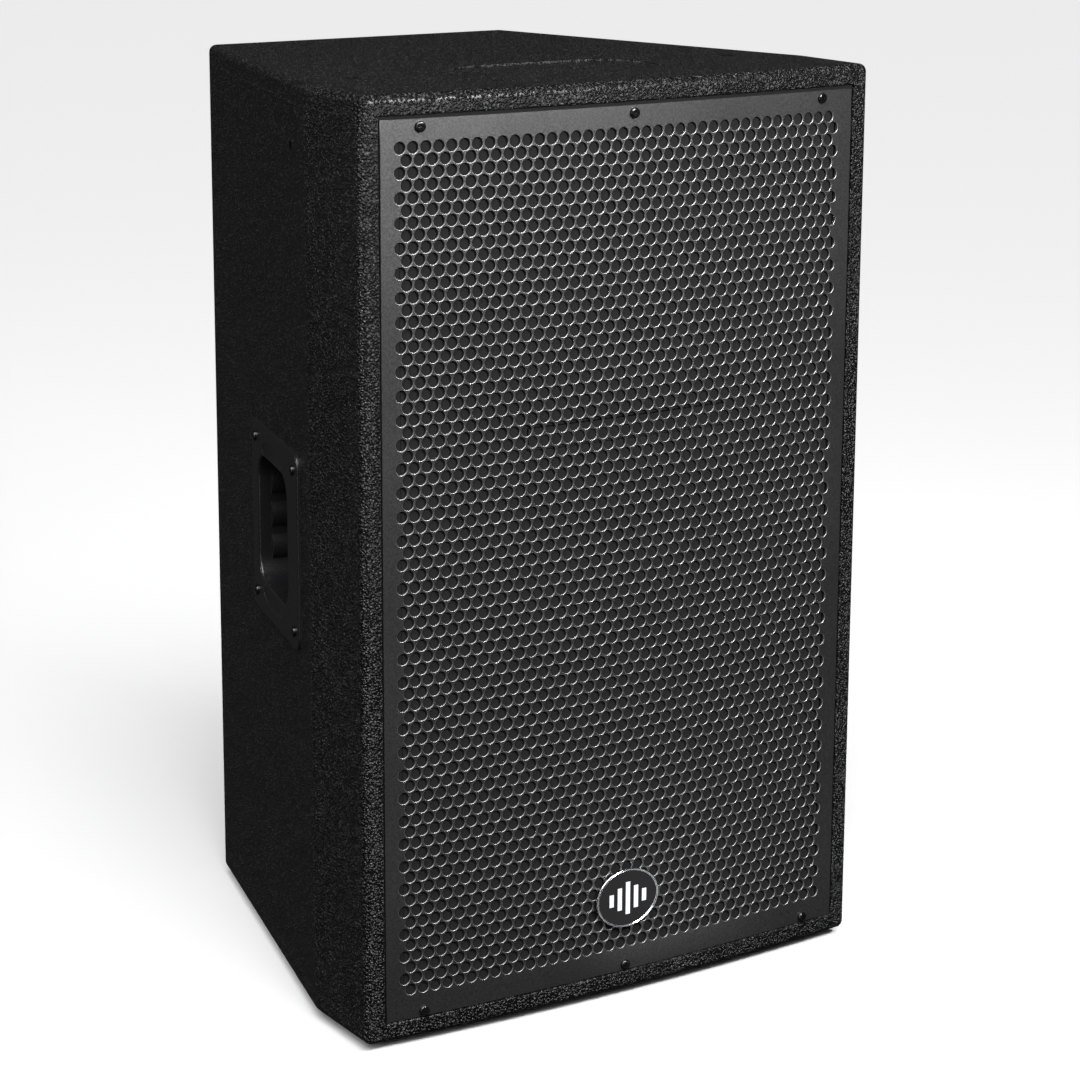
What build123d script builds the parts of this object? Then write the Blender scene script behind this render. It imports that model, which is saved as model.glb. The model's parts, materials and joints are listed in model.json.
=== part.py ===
from build123d import *
import os
from math import asin, cos, degrees, radians, sin, sqrt, tan

# Passive 15-inch two-way loudspeaker cabinet, in millimetres.
# +Z is up, the grille faces -Y and +X is to the right of the listener who looks at it.
# The origin is on the floor, below the middle of the cabinet's box.
# The shapes below are drawn with z = 0 at the underside of the plywood box;
# save() lifts them all by the height of the rubber feet.

# Driving dimensions of the box
WIDTH = 446
HEIGHT = 700
DEPTH = 405
BOW = 10.5            # how far the front bulges at its middle
STRAIGHT = 79         # length of the side before it turns in
TAPER = 15            # degrees that the rear side panels turn in
BOARD = 15            # thickness of the outer panels
EDGE_R = 6
OPENING_R = 1.5       # rounding of the edge around the grille
CREASE_R = 25
FOOT_HEIGHT = 7

# Grille
GRILLE_RECESS = 1
GRILLE_SHEET = 1.5
GRILLE_GAP_X = 1.2
GRILLE_GAP_TOP = 2.6
GRILLE_GAP_BOTTOM = 0.4
GRILLE_SCREW_X = 176
GRILLE_SCREW_LOW = 20.1
GRILLE_SCREW_HIGH = 676.6
CLEAT = 16
FOAM = 8
SOFT_GAP = 0.3

# Badge
BADGE_Z = 75.5
BADGE_WIDTH = 57
BADGE_HEIGHT = 47
BADGE_STANDOFF = 0.6
BADGE_SLAB = 2
BADGE_RIM = 2.6

# Baffle and drivers
BAFFLE_FACE = -166
BAFFLE_BOARD = 18
WOOFER_Z = 225
WOOFER_R = 190.5
WOOFER_CUTOUT_R = 176
HORN_Z = 566
PORT_X = 154
PORT_R = 33
PORT_LENGTH = 95
PORT_WALL = 3

# Woofer
WOOFER_MOUNT = BAFFLE_FACE - 5       # front of the basket's rim
WOOFER_SCREW_R = 183
COIL_R = 38
SPIDER_Y = -96
CONE_SLOPE = 0.557                   # how steeply the cone rises from its neck
CONE_NECK_Y = -109
TOP_PLATE_Y = -62
WOOFER_TAG_Z = WOOFER_Z + 117        # height of its terminals

# Horn and compression driver
HORN_FLANGE_X = 232
HORN_FLANGE_Z = 204
HORN_MOUTH_X = 208
HORN_MOUTH_Z = 178
HORN_FACE = BAFFLE_FACE - 4
THROAT_R = 12.7                      # the 1-inch exit of the driver
THROAT_Y = -52
DRIVER_Y = THROAT_Y + 6
DRIVER_TAG_Z = HORN_Z - 20

# Inside boards
SHELF_LOW = 432
SHELF_HIGH = 447
BATTEN = 20
STRIP_X = 88          # half the length of the short batten behind the grille
STRIP_LOW = 436
STRIP_HIGH = 452
BOARD_UNDER = BOARD + 10             # underside of the crossover's circuit board
BOARD_TOP = BOARD_UNDER + 1.6
BOARD_Y = 112
TERMINALS_TOP = BOARD_TOP + 11
LEAD_R = 3
LEAD_X = (-32, 0, 32)
LEAD_Y = BOARD_Y + 34
WOOL = 30             # thickness of the damping pads

# Rear panel
REAR_INSET = 4
INPUT_Z = 170
INPUT_PLATE = 2
SOCKET_X = 32
SOCKET_Z = INPUT_Z + 12
SOCKET_R = 13.6
SOCKET_DEPTH = 26
SWITCH_Z = INPUT_Z - 32

# Underside
POLE_CUP_R = 20.5
POLE_BORE_R = 17.8
POLE_BORE_DEPTH = 80
FOOT_PLACES = ((-165, -150), (165, -150), (-95, 165), (95, 165))

# Handles
HANDLE_ALONG = 104    # from the crease to the middle of the plate
HANDLE_Z = 350
HANDLE_WIDTH = 150
HANDLE_HEIGHT = 152
HANDLE_SCREWS = 124
POCKET_SHIFT = 6      # the pocket sits towards the back of the plate
POCKET_WIDTH = 97
POCKET_HEIGHT = 102
POCKET_DEPTH = 62
POCKET_CORNER_R = 20
MOULDING = 3
PLATE = 2.4           # thickness of the handle's plate
DISH_Z = 57           # shallow dishes above and below the pocket
DISH_SIZE = (33, 9, 1.6)
RIDGE_R = 12          # finger ridges on the pocket's rear wall
RIDGE_PITCH = 26

# Rigging inserts, M10
INSERT_TAP_R = 4.25
INSERT_FLANGE_R = 8.5
SIDE_FLANGE_R = 6
INSERT_DEPTH = 20
INSERT_X = 168
INSERT_Y = -83.5
SIDE_TAP_R = 3.4      # M8 on the sides
SIDE_INSERT_ALONG = 43
SIDE_INSERT_Z = 652

# Worked out
HALF = WIDTH / 2
BADGE_PROUD = BADGE_STANDOFF + BADGE_RIM - GRILLE_RECESS
FRONT_APEX = -(DEPTH - BADGE_PROUD) / 2
FRONT_EDGE = FRONT_APEX + BOW
BACK = (DEPTH + BADGE_PROUD) / 2
CREASE_Y = FRONT_EDGE + STRAIGHT
FRONT_R = (HALF ** 2 + BOW ** 2) / (2 * BOW)
FRONT_CENTRE = FRONT_APEX + FRONT_R
BAFFLE_BACK = BAFFLE_FACE + BAFFLE_BOARD
BADGE_BACK = FRONT_APEX + GRILLE_RECESS - BADGE_STANDOFF
REAR_OUTER = BACK - REAR_INSET
PLATE_OUT = REAR_OUTER + INPUT_PLATE
SOCKET_BACK = REAR_OUTER - SOCKET_DEPTH
REAR_INNER = REAR_OUTER - BOARD
INNER = HALF - BOARD
CEILING = HEIGHT - BOARD
BACKWARD = (-sin(radians(TAPER)), cos(radians(TAPER)), 0)
OUTWARD = (cos(radians(TAPER)), sin(radians(TAPER)), 0)


# ---------------------------------------------------------------- helpers

def block(x0, x1, y0, y1, z0, z1):
    return Pos((x0 + x1) / 2, (y0 + y1) / 2, (z0 + z1) / 2) * Box(x1 - x0, y1 - y0, z1 - z0)


def rod_y(radius, x, z, y0, y1):
    """A round bar along Y."""
    return Pos(x, (y0 + y1) / 2, z) * Rot(90, 0, 0) * Cylinder(radius, y1 - y0)


def rod_z(radius, x, y, z0, z1):
    """A round bar along Z."""
    return Pos(x, y, (z0 + z1) / 2) * Cylinder(radius, z1 - z0)


def turned(outline, z):
    """A body of revolution about the driver axis at height z: outline is (radius, y) pairs."""
    return Pos(0, 0, z) * revolve(make_face(Polyline(*outline, close=True)), Axis.Y)


def dome(edge_r, height, thickness, y, z):
    """A thin spherical cap on a driver's axis, bulging by height along Y from its edge at y."""
    way = 1 if height > 0 else -1
    sphere_r = (edge_r ** 2 + height ** 2) / (2 * abs(height))
    centre = y + height - way * sphere_r
    spread = asin(edge_r / sphere_r)

    def arc(radius):
        angles = (0, spread / 2, spread)
        points = [(radius * sin(angle), centre + way * radius * cos(angle)) for angle in angles]
        return ThreePointArc(*points)

    outer = arc(sphere_r)
    inner = arc(sphere_r - thickness)
    profile = make_face([outer, inner, Line(outer @ 0, inner @ 0), Line(outer @ 1, inner @ 1)])
    return Pos(0, 0, z) * revolve(profile, Axis.Y)


def both_sides(shape):
    return Compound([*shape.solids(), *mirror(shape, about=Plane.YZ).solids()])


def group(shapes):
    return Compound([solid for shape in shapes for solid in shape.solids()])


def front_y(x, inset=0):
    """The y of the bowed front at x, set back by inset."""
    return FRONT_CENTRE - sqrt((FRONT_R - inset) ** 2 - x ** 2)


def behind_front(inset):
    """Everything behind the bowed front surface set back by inset."""
    reach = HALF + 10
    edge = front_y(reach, inset)
    arc = ThreePointArc((-reach, edge), (0, front_y(0, inset)), (reach, edge))
    back = Polyline((reach, edge), (reach, BACK + 10), (-reach, BACK + 10), (-reach, edge))
    return extrude(make_face([arc, back]), HEIGHT)


def curved_sheet(inset, thickness, half_width, z0, z1):
    """A sheet that follows the bowed front."""
    slab = behind_front(inset) - behind_front(inset + thickness)
    return slab & block(-half_width, half_width, FRONT_APEX, FRONT_EDGE + 30, z0, z1)


def cavity(inset):
    """The space between the side panels, set in from their outer faces by inset."""
    front = FRONT_APEX - 20
    back = BACK + 20
    crease = CREASE_Y - inset * tan(radians(TAPER / 2))
    wide = HALF - inset
    narrow = wide - (back - crease) * tan(radians(TAPER))
    right = [(wide, front), (wide, crease), (narrow, back)]
    left = [(-x, y) for x, y in reversed(right)]
    return extrude(make_face(Polyline(*right, *left, close=True)), HEIGHT)


def inside(y0, y1, z0, z1):
    """A board that fills the inside of the box from y0 to y1 and z0 to z1."""
    return cavity(BOARD) & block(-HALF, HALF, y0, y1, z0, z1)


def taper_plane(along, z):
    """On the right rear side panel: x runs back, y runs up, z points outward."""
    edge = Vector(HALF, CREASE_Y, z)
    return Plane(edge + Vector(*BACKWARD) * along, x_dir=BACKWARD, z_dir=OUTWARD)


def pan_screw(head_r, head_h, shank_r, shank_length):
    """A pan-head screw along Z with its head above z = 0 and a cross recess."""
    head = Pos(0, 0, head_h / 2) * Cylinder(head_r, head_h)
    head = fillet(head.faces().sort_by(Axis.Z)[-1].edges(), head_h * 0.6)
    recess = Box(head_r, head_r * 0.22, head_h) + Box(head_r * 0.22, head_r, head_h)
    shank = Pos(0, 0, -shank_length / 2) * Cylinder(shank_r, shank_length)
    return head - Pos(0, 0, head_h) * recess + shank


# ---------------------------------------------------------------- plywood box

def full_box():
    """The rounded outer form of the box, before it is cut into panels."""
    half_back = HALF - (BACK - CREASE_Y) * tan(radians(TAPER))
    arc = ThreePointArc((-HALF, FRONT_EDGE), (0, FRONT_APEX), (HALF, FRONT_EDGE))
    rest = Polyline((HALF, FRONT_EDGE), (HALF, CREASE_Y), (half_back, BACK),
                    (-half_back, BACK), (-HALF, CREASE_Y), (-HALF, FRONT_EDGE))
    form = extrude(make_face([arc, rest]), HEIGHT)
    upright = form.edges().filter_by(Axis.Z)
    creases = upright.filter_by_position(Axis.Y, CREASE_Y - 1, CREASE_Y + 1)
    form = fillet(creases, CREASE_R)
    corners = form.edges().filter_by(Axis.Z).filter_by(
        lambda edge: abs(edge.center().Y - CREASE_Y) > CREASE_R)
    form = fillet(corners, EDGE_R)
    rims = form.faces().filter_by(Axis.Z).edges()
    return fillet(rims, EDGE_R)


def opening_rounding():
    """What is taken off to round the edge of the boards around the grille."""
    size = OPENING_R
    waste = Pos(size / 2, size / 2) * Rectangle(size, size) - Pos(size, size) * Circle(size)
    upright = extrude(Pos(INNER, front_y(INNER)) * waste, CEILING - BOARD)
    shapes = [both_sides(Pos(0, 0, BOARD) * upright)]
    half_turn = degrees(asin(INNER / FRONT_R))
    bow_axis = Axis((0, FRONT_CENTRE, 0), (0, 0, 1))
    for z, way in ((CEILING, 1), (BOARD, -1)):
        profile = Plane((0, FRONT_APEX, z), x_dir=(0, 1, 0), z_dir=(way, 0, 0)) * waste
        rail = revolve(profile, bow_axis, 2 * half_turn)
        shapes.append(rail.rotate(bow_axis, -half_turn))
    return group(shapes)


def insert_blank(flange_r):
    """The outside of one insert along Z, its flange flush with z = 0."""
    return rod_z(flange_r, 0, 0, -1.5, 0) + rod_z(flange_r - 2, 0, 0, -25, -1.5)


def tapped_insert(flange_r, tap_r):
    """A blind insert with a chamfered mouth."""
    mouth = Pos(0, 0, -0.4) * Cone(tap_r, tap_r + 0.8, 0.8)
    return insert_blank(flange_r) - rod_z(tap_r, 0, 0, -INSERT_DEPTH, 0) - mouth


def at_insert_places(insert, side_insert):
    """Seven places: two above, two below, one on each side and one behind."""
    places = [Plane((x, INSERT_Y, HEIGHT), z_dir=(0, 0, 1)) for x in (-INSERT_X, INSERT_X)]
    places += [Plane((x, INSERT_Y, 0), z_dir=(0, 0, -1)) for x in (-INSERT_X, INSERT_X)]
    places.append(Plane((0, REAR_OUTER, HEIGHT - 90), z_dir=(0, 1, 0)))
    right = taper_plane(SIDE_INSERT_ALONG, SIDE_INSERT_Z).location * side_insert
    return group([place.location * insert for place in places] + [both_sides(right)])


def rigging_inserts():
    """Five M10 inserts and an M8 one on each side."""
    return at_insert_places(tapped_insert(INSERT_FLANGE_R, INSERT_TAP_R),
                            tapped_insert(SIDE_FLANGE_R, SIDE_TAP_R))


def top_panel(form, fasteners):
    """The top board, with a shallow rounded locating recess."""
    recess = extrude(Pos(0, -100, HEIGHT - 1.2) * RectangleRounded(168, 96, 40), 5)
    return (form & block(-HALF, HALF, -BACK, BACK, CEILING, HEIGHT)) - recess - fasteners


def bottom_panel(form, fasteners):
    board = form & block(-HALF, HALF, -BACK, BACK, 0, BOARD)
    return board - rod_z(POLE_CUP_R + 3, 0, 0, 0, BOARD) - fasteners


def side_panels(form):
    """The four side boards: a straight front strip and a tapered rear board on each side."""
    walls = form & block(-HALF, HALF, -BACK, BACK, BOARD, CEILING)
    walls -= cavity(BOARD)
    inner_crease = CREASE_Y - BOARD * tan(radians(TAPER / 2))
    seam = Polyline((HALF, CREASE_Y), (HALF + 30, CREASE_Y), (HALF + 30, -BACK - 10),
                    (INNER - 30, -BACK - 10), (INNER - 30, inner_crease),
                    (INNER, inner_crease), close=True)
    front_half = both_sides(extrude(make_face(seam), HEIGHT))
    return walls & front_half, walls - front_half


def pocket_block(margin):
    """The outside of the handle's pocket, on the panel's own axes."""
    shape = RectangleRounded(POCKET_WIDTH + 2 * margin, POCKET_HEIGHT + 2 * margin,
                             POCKET_CORNER_R + margin)
    return extrude(Pos(POCKET_SHIFT, 0, -POCKET_DEPTH - margin) * shape, POCKET_DEPTH + margin)


def rear_side_panel(board, fasteners):
    """A tapered side board with the cut-out for its handle's pocket."""
    right = taper_plane(HANDLE_ALONG, HANDLE_Z).location * pocket_block(MOULDING + 0.5)
    return board - both_sides(right) - fasteners


def rear_panel(fasteners):
    board = inside(REAR_INNER, REAR_OUTER, BOARD, CEILING)
    outline = Pos(0, INPUT_Z) * RectangleRounded(128, 88, 6)
    opening = extrude(Plane.XZ.offset(-REAR_INNER + 1) * outline, -2 * BOARD)
    return board - opening - fasteners


def front_baffle(fasteners):
    board = inside(BAFFLE_FACE, BAFFLE_BACK, BOARD, CEILING)
    board -= rod_y(WOOFER_CUTOUT_R, 0, WOOFER_Z, BAFFLE_FACE, BAFFLE_BACK)
    board -= block(-HORN_MOUTH_X / 2, HORN_MOUTH_X / 2, BAFFLE_FACE, BAFFLE_BACK,
                   HORN_Z - HORN_MOUTH_Z / 2, HORN_Z + HORN_MOUTH_Z / 2)
    for x, z in port_places():
        board -= rod_y(PORT_R, x, z, BAFFLE_FACE, BAFFLE_BACK)
    return board - fasteners


def window_brace():
    """A shelf between the woofer and the horn, cut out to a frame with one rib."""
    shelf = inside(BAFFLE_BACK, REAR_INNER, SHELF_LOW, SHELF_HIGH)
    front = inside(BAFFLE_BACK + 35, -20, 400, 500) & block(-165, 165, -BACK, BACK, 400, 500)
    back = inside(20, REAR_INNER - 28, 400, 500) & block(-85, 85, -BACK, BACK, 400, 500)
    return shelf - front - back


def glue_battens():
    """Square battens behind the baffle and in front of the rear panel."""
    edge = INNER - BATTEN
    front = inside(BAFFLE_BACK, BAFFLE_BACK + BATTEN, BOARD, CEILING)
    front -= block(-edge, edge, BAFFLE_BACK, BAFFLE_BACK + BATTEN, BOARD, CEILING)
    back = inside(REAR_INNER - BATTEN, REAR_INNER, BOARD, CEILING)
    back -= block(-105, 105, -BACK, BACK, BOARD, CEILING)
    shelf = block(-HALF, HALF, -BACK, BACK, SHELF_LOW, SHELF_HIGH)
    return group([front - shelf, back - shelf])


# ---------------------------------------------------------------- grille

def grille_screws():
    """Six pan-head screws, square to the curved sheet."""
    screw = pan_screw(4, 2.4, 1.9, 15)
    shapes = []
    for x in (-GRILLE_SCREW_X, 0, GRILLE_SCREW_X):
        for z in (GRILLE_SCREW_LOW, GRILLE_SCREW_HIGH):
            y = front_y(x, GRILLE_RECESS)
            normal = Vector(x, y - FRONT_CENTRE, 0).normalized()
            shapes.append(Plane((x, y, z), z_dir=normal).location * screw)
    return group(shapes)


def grille(screws):
    """The steel sheet that follows the bowed front; its perforation is left out here."""
    sheet = curved_sheet(GRILLE_RECESS, GRILLE_SHEET, INNER - GRILLE_GAP_X,
                         BOARD + GRILLE_GAP_BOTTOM, CEILING - GRILLE_GAP_TOP)
    return sheet - screws - rod_y(2.3, 0, BADGE_Z, FRONT_APEX, FRONT_EDGE)


def grille_cleats(screws):
    """Four battens on the baffle that the sheet is screwed to, and a short one that it rests on."""
    fill = behind_front(GRILLE_RECESS + GRILLE_SHEET)
    uprights = [block(side * INNER - CLEAT * (side > 0), side * INNER + CLEAT * (side < 0),
                      -BACK, BAFFLE_FACE, BOARD, CEILING) for side in (-1, 1)]
    rails = [block(-INNER + CLEAT, INNER - CLEAT, -BACK, BAFFLE_FACE, z0, z0 + BOARD - 0.5)
             for z0 in (BOARD, CEILING - BOARD + 0.5)]
    strip = block(-STRIP_X, STRIP_X, -BACK, BAFFLE_FACE, STRIP_LOW, STRIP_HIGH)
    return group([(fill & bar) - screws for bar in uprights + rails + [strip]])


def grille_foam():
    """The reticulated foam sheet behind the perforated steel."""
    edge = INNER - CLEAT - SOFT_GAP
    low = 2 * BOARD + SOFT_GAP
    sheet = curved_sheet(GRILLE_RECESS + GRILLE_SHEET + SOFT_GAP, FOAM, edge, low, HEIGHT - low)
    reach = STRIP_X + SOFT_GAP
    strip = block(-reach, reach, -BACK, 0, STRIP_LOW - SOFT_GAP, STRIP_HIGH + SOFT_GAP)
    return sheet - strip - rod_y(9, 0, BADGE_Z, FRONT_APEX, BAFFLE_FACE)


# ---------------------------------------------------------------- badge

def badge_ellipse(shrink):
    return Pos(0, BADGE_Z) * Ellipse(BADGE_WIDTH / 2 - shrink, BADGE_HEIGHT / 2 - shrink)


def badge_slab(shrink, y0, y1):
    return extrude(Plane.XZ.offset(-y1) * badge_ellipse(shrink), y1 - y0)


def badge_plate():
    """The oval plate with the snap stud that it turns on."""
    face = badge_slab(2, BADGE_BACK - BADGE_SLAB, BADGE_BACK)
    sheet_back = FRONT_APEX + GRILLE_RECESS + GRILLE_SHEET
    stud = rod_y(2.2, 0, BADGE_Z, BADGE_BACK, sheet_back + 4)
    return face + stud + rod_y(4, 0, BADGE_Z, sheet_back + 0.4, sheet_back + 2)


def badge_rim():
    """The bright rim around the plate."""
    rim = badge_slab(0, BADGE_BACK - BADGE_RIM, BADGE_BACK) - badge_slab(2, BADGE_BACK - 4, BADGE_BACK)
    front = rim.faces().sort_by(Axis.Y)[0].edges()
    return chamfer(front, 0.6)


def badge_emblem():
    """Five upright bars like a level display."""
    bars = []
    for step, height in zip((-2, -1, 0, 1, 2), (10, 18, 26, 18, 10)):
        bar = Box(4, 0.5, height)
        bars.append(Pos(step * 7.5, BADGE_BACK - BADGE_SLAB - 0.25, BADGE_Z) * bar)
    return group(bars)


# ---------------------------------------------------------------- woofer

def woofer_screws():
    """Eight screws on the rim of the woofer."""
    screw = pan_screw(5, 3, 2.4, 26)
    circle = PolarLocations(WOOFER_SCREW_R, 8, start_angle=22.5)
    face = Plane((0, WOOFER_MOUNT - 4, WOOFER_Z), x_dir=(1, 0, 0), z_dir=(0, -1, 0))
    return group([(face.location * place) * screw for place in circle])


def woofer_basket(screws):
    """The cast frame: rim, six spokes and the seat of the magnet."""
    shell = turned([(WOOFER_R, WOOFER_MOUNT), (WOOFER_R, BAFFLE_FACE), (WOOFER_CUTOUT_R - 1, BAFFLE_FACE),
                    (110, TOP_PLATE_Y - 8), (92, TOP_PLATE_Y), (50, TOP_PLATE_Y), (50, TOP_PLATE_Y - 4),
                    (80, TOP_PLATE_Y - 4), (80, SPIDER_Y + 0.8), (86.5, SPIDER_Y + 0.8),
                    (88, TOP_PLATE_Y - 4), (105, TOP_PLATE_Y - 12), (WOOFER_CUTOUT_R - 6, WOOFER_MOUNT + 1),
                    (WOOFER_CUTOUT_R - 6, WOOFER_MOUNT)], WOOFER_Z)
    window = extrude(Plane.XZ.offset(-TOP_PLATE_Y + 10) * Polygon(
        (112, -36), (160, -62), (160, 62), (112, 36), align=None), 64)
    for turn in range(6):
        shell -= Pos(0, 0, WOOFER_Z) * Rot(0, 30 + 60 * turn, 0) * window
    return shell - screws


def woofer_gasket(screws):
    """The ring that clamps the surround on the rim."""
    y = WOOFER_MOUNT
    ring = turned([(WOOFER_R, y - 4), (WOOFER_R, y), (171.5, y), (171.5, y - 4)], WOOFER_Z)
    return ring - screws


def woofer_surround():
    """The half roll between the cone and the rim."""
    y = WOOFER_MOUNT
    outer = ThreePointArc((150, y), (160.5, y - 7), (171, y))
    inner = ThreePointArc((170, y), (160.5, y - 6), (151, y))
    roll = make_face([outer, Line((171, y), (170, y)), inner, Line((151, y), (150, y))])
    return Pos(0, 0, WOOFER_Z) * revolve(roll, Axis.Y)


def cone_front(radius):
    """The y of the cone's front face at a radius."""
    return CONE_NECK_Y - CONE_SLOPE * (radius - COIL_R)


def woofer_cone():
    """The paper cone, from its neck on the coil former to its rim inside the surround."""
    neck = COIL_R + 0.3
    return turned([(neck, CONE_NECK_Y), (149.5, cone_front(149.5)),
                   (150.5, cone_front(150.5) + 1.2), (148, cone_front(148) + 2),
                   (neck + 1, CONE_NECK_Y + 3), (neck, CONE_NECK_Y + 3)], WOOFER_Z)


def woofer_dust_cap():
    """The dome that covers the voice coil, its edge glued on the cone."""
    edge = 57
    return dome(edge, -18, 0.8, cone_front(edge) - 0.7, WOOFER_Z)


def woofer_voice_coil():
    """The former with its winding in the magnet gap."""
    return turned([(COIL_R - 0.2, -112), (COIL_R + 0.3, -112), (COIL_R + 0.3, TOP_PLATE_Y - 5),
                   (COIL_R + 1.2, TOP_PLATE_Y - 5), (COIL_R + 1.2, TOP_PLATE_Y + 17),
                   (COIL_R - 0.2, TOP_PLATE_Y + 17)], WOOFER_Z)


def woofer_spider():
    """The corrugated cloth that centres the coil: two concentric waves."""
    radii = [COIL_R + 0.6 + step * (86 - COIL_R) / 8 for step in range(9)]
    heights = [0, 0, -3, 3, -3, 3, -3, 0, 0]
    front = [(r, SPIDER_Y + h) for r, h in zip(radii, heights)]
    back = [(r, y + 0.8) for r, y in reversed(front)]
    return turned(front + back, WOOFER_Z)


def woofer_magnet():
    """The ferrite ring."""
    y0 = TOP_PLATE_Y + 12
    return turned([(52, y0), (108, y0), (108, y0 + 24), (52, y0 + 24)], WOOFER_Z)


def woofer_top_plate():
    y = TOP_PLATE_Y
    return turned([(COIL_R + 2, y), (92, y), (92, y + 12), (COIL_R + 2, y + 12)], WOOFER_Z)


def woofer_yoke():
    """The back plate with its vented pole piece."""
    y0 = TOP_PLATE_Y + 36
    return turned([(10, y0 + 12), (10, TOP_PLATE_Y), (COIL_R - 1.2, TOP_PLATE_Y),
                   (COIL_R - 1.2, y0), (96, y0), (96, y0 + 12)], WOOFER_Z)


def woofer_terminals():
    """Two push terminals on a tag board at the top of the magnet."""
    y1 = TOP_PLATE_Y + 12
    board = block(-22, 22, y1 - 3, y1, WOOFER_Z + 93, WOOFER_Z + 125)
    posts = [rod_y(3, x, WOOFER_TAG_Z, y1, y1 + 6) for x in (-12, 12)]
    return board + posts[0] + posts[1]


# ---------------------------------------------------------------- horn and compression driver

def horn_form(grow):
    """The flare, from the mouth to the round throat."""
    stations = ((HORN_FACE, 200, 170, 34), (-140, 128, 104, 30), (-104, 72, 60, 22), (-74, 42, 38, 16),
                (THROAT_Y, 25.4, 25.4, 12.2))
    sections = [Plane((0, y, HORN_Z), x_dir=(1, 0, 0), z_dir=(0, 1, 0))
                * RectangleRounded(wide + grow, high + grow, radius + grow / 2)
                for y, wide, high, radius in stations]
    return loft(sections)


def horn_screws():
    screw = pan_screw(4, 2.6, 2, 22)
    shapes = []
    for x in (-1, 0, 1):
        for z in (-1, 1):
            place = (x * (HORN_FLANGE_X / 2 - 8), HORN_FACE, HORN_Z + z * (HORN_FLANGE_Z / 2 - 6.5))
            shapes.append(Plane(place, z_dir=(0, -1, 0)).location * screw)
    return group(shapes)


def driver_bolts():
    bolt = rod_z(2.5, 0, 0, -14, 0) + rod_z(4.5, 0, 0, 0, 4)
    face = Plane((0, THROAT_Y, HORN_Z), x_dir=(1, 0, 0), z_dir=(0, -1, 0))
    return group([(face.location * place) * bolt for place in PolarLocations(38, 4, start_angle=45)])


def horn_flare(screws, bolts):
    flange = extrude(Plane((0, HORN_FACE, HORN_Z), x_dir=(1, 0, 0), z_dir=(0, 1, 0))
                     * RectangleRounded(HORN_FLANGE_X, HORN_FLANGE_Z, 12), 4)
    collar = rod_y(46, 0, HORN_Z, THROAT_Y, DRIVER_Y)
    flare = horn_form(6) + flange + collar - horn_form(0) - rod_y(THROAT_R, 0, HORN_Z, THROAT_Y, DRIVER_Y)
    return flare - screws - bolts


def driver_yoke(bolts):
    """The front plate and pole, with the sound passage through them."""
    y0 = DRIVER_Y + 10
    body = rod_y(60, 0, HORN_Z, DRIVER_Y, y0) + rod_y(21.4, 0, HORN_Z, y0, y0 + 26)
    passage = turned([(0, DRIVER_Y), (THROAT_R, DRIVER_Y), (17, y0 + 26), (0, y0 + 26)], HORN_Z)
    return body - passage - bolts


def driver_phase_plug():
    """The bullet in the passage, carried by its rear skirt."""
    y1 = DRIVER_Y + 36
    bullet = turned([(0, DRIVER_Y + 8), (3, DRIVER_Y + 16), (13, y1), (0, y1)], HORN_Z)
    ribs = block(-16.2, 16.2, y1 - 6, y1, HORN_Z - 1, HORN_Z + 1)
    ribs += block(-1, 1, y1 - 6, y1, HORN_Z - 16.2, HORN_Z + 16.2)
    return bullet + ribs


def driver_magnet():
    y0 = DRIVER_Y + 10
    return rod_y(58, 0, HORN_Z, y0, y0 + 18) - rod_y(30, 0, HORN_Z, y0, y0 + 18)


def driver_top_plate():
    y0 = DRIVER_Y + 28
    return rod_y(50, 0, HORN_Z, y0, y0 + 8) - rod_y(23.4, 0, HORN_Z, y0, y0 + 8)


def driver_diaphragm():
    """The dome with its coil former in the magnet gap."""
    y0 = DRIVER_Y + 37.5
    former = turned([(22.2, y0 - 7.5), (22.6, y0 - 7.5), (22.6, y0 + 0.5), (22.2, y0 + 0.5)], HORN_Z)
    return dome(22.6, 9, 0.4, y0, HORN_Z) + former


def driver_suspension():
    """The ring that carries the edge of the diaphragm."""
    y0 = DRIVER_Y + 36
    return turned([(24, y0), (46, y0), (46, y0 + 3), (24, y0 + 3)], HORN_Z)


def driver_cover():
    """The rear cover with its two push terminals."""
    y0 = DRIVER_Y + 39
    shell = rod_y(46, 0, HORN_Z, y0, y0 + 18) - rod_y(42, 0, HORN_Z, y0, y0 + 14)
    posts = [rod_y(4, x, DRIVER_TAG_Z, y0 + 18, y0 + 26) for x in (-14, 14)]
    return shell + posts[0] + posts[1]


# ---------------------------------------------------------------- ports

def port_places():
    return [(side * PORT_X, HORN_Z + step) for side in (-1, 1) for step in (-52, 52)]


def port_tubes():
    """Four reflex tubes beside the horn, flush with the baffle."""
    tubes = []
    for x, z in port_places():
        tube = rod_y(PORT_R, x, z, BAFFLE_FACE, BAFFLE_FACE + PORT_LENGTH)
        tubes.append(tube - rod_y(PORT_R - PORT_WALL, x, z, BAFFLE_FACE, BAFFLE_FACE + PORT_LENGTH))
    return group(tubes)


# ---------------------------------------------------------------- handles

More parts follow.
